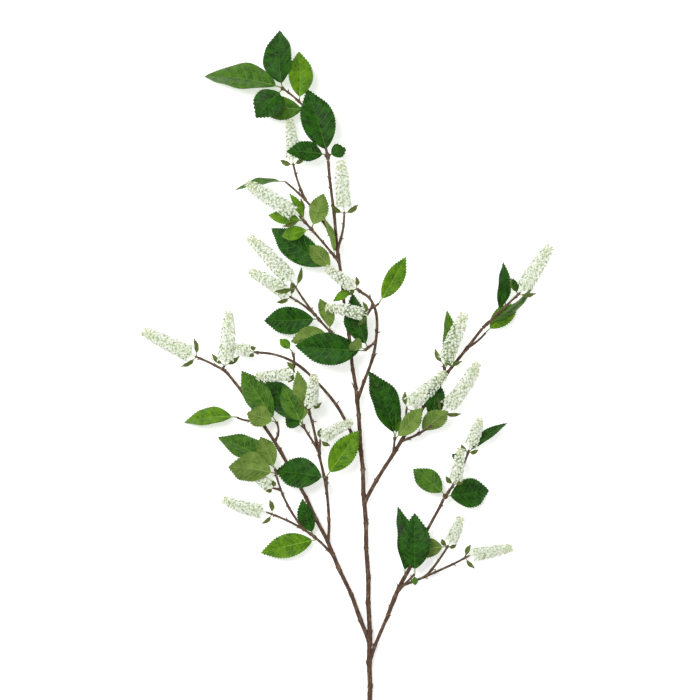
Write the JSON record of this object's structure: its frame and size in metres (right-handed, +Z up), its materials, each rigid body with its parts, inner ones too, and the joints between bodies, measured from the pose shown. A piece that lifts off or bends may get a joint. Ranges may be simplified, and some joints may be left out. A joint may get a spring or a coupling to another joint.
{
  "type": "artificial sweetspire spray",
  "caption": "Cut faux flowering branch lying flat: a wired brown stem with forking boughs, serrated green leaves and slender white flower spikes.",
  "frame": {"origin": "middle of the outline at the level of the lowest leaf, on the table the spray lies on", "axes": "+Y along the spray from the cut foot to the crown, +X to the right as seen from above, +Z up from the table"},
  "size_m": [0.609, 1.066, 0.098],
  "materials": {
    "bark": "moulded brown bark over a wire core, matte",
    "foliage": "printed polyester leaves in two greens with pale veins, slightly glossy",
    "blossom": "soft greenish-white blossom, matte"
  },
  "bodies": {
    "root": {"main_stem": "bark", "leader": "bark", "hook_bough": "bark", "left_bough": "bark", "inner_bough": "bark", "arching_bough": "bark", "right_bough": "bark", "low_right_bough": "bark", "crown_sprig": "foliage", "crown_spike": "blossom", "high_sprig": "foliage", "upper_left_spike": "blossom", "upper_left_sprig": "foliage", "upper_right_spike": "blossom", "upper_right_sprig": "foliage", "neck_sprig": "foliage", "long_twin_spike": "blossom", "short_twin_spike": "blossom", "twin_spike_sprig": "foliage", "hook_leaf_sprig": "foliage", "hook_tip_spike": "blossom", "hook_tip_sprig": "foliage", "hook_side_spike": "blossom", "hook_side_sprig": "foliage", "arch_tip_spike": "blossom", "arch_tip_sprig": "foliage", "arch_side_spike": "blossom", "arch_side_sprig": "foliage", "inner_leaf_sprig": "foliage", "inner_tip_spike": "blossom", "inner_tip_sprig": "foliage", "inner_side_spike": "blossom", "inner_side_sprig": "foliage", "inner_pair_sprig": "foliage", "far_left_sprig": "foliage", "left_pair_sprig": "foliage", "low_left_spike": "blossom", "hidden_spike": "blossom", "low_left_sprig": "foliage", "left_tip_spike": "blossom", "left_fork_spike": "blossom", "left_tip_sprig": "foliage", "right_low_sprig": "foliage", "right_fork_spike": "blossom", "right_fork_sprig": "foliage", "right_inner_spike": "blossom", "right_inner_sprig": "foliage", "right_mid_spike": "blossom", "right_mid_sprig": "foliage", "right_tip_spike": "blossom", "right_tip_sprig": "foliage", "right_side_sprig": "foliage", "low_right_back_sprig": "foliage", "low_right_front_sprig": "foliage", "low_right_spike": "blossom", "low_fork_spike": "blossom", "low_right_fork_sprig": "foliage", "low_tip_spike": "blossom", "low_inner_spike": "blossom", "low_right_tip_sprig": "foliage"}
  },
  "joints": []
}
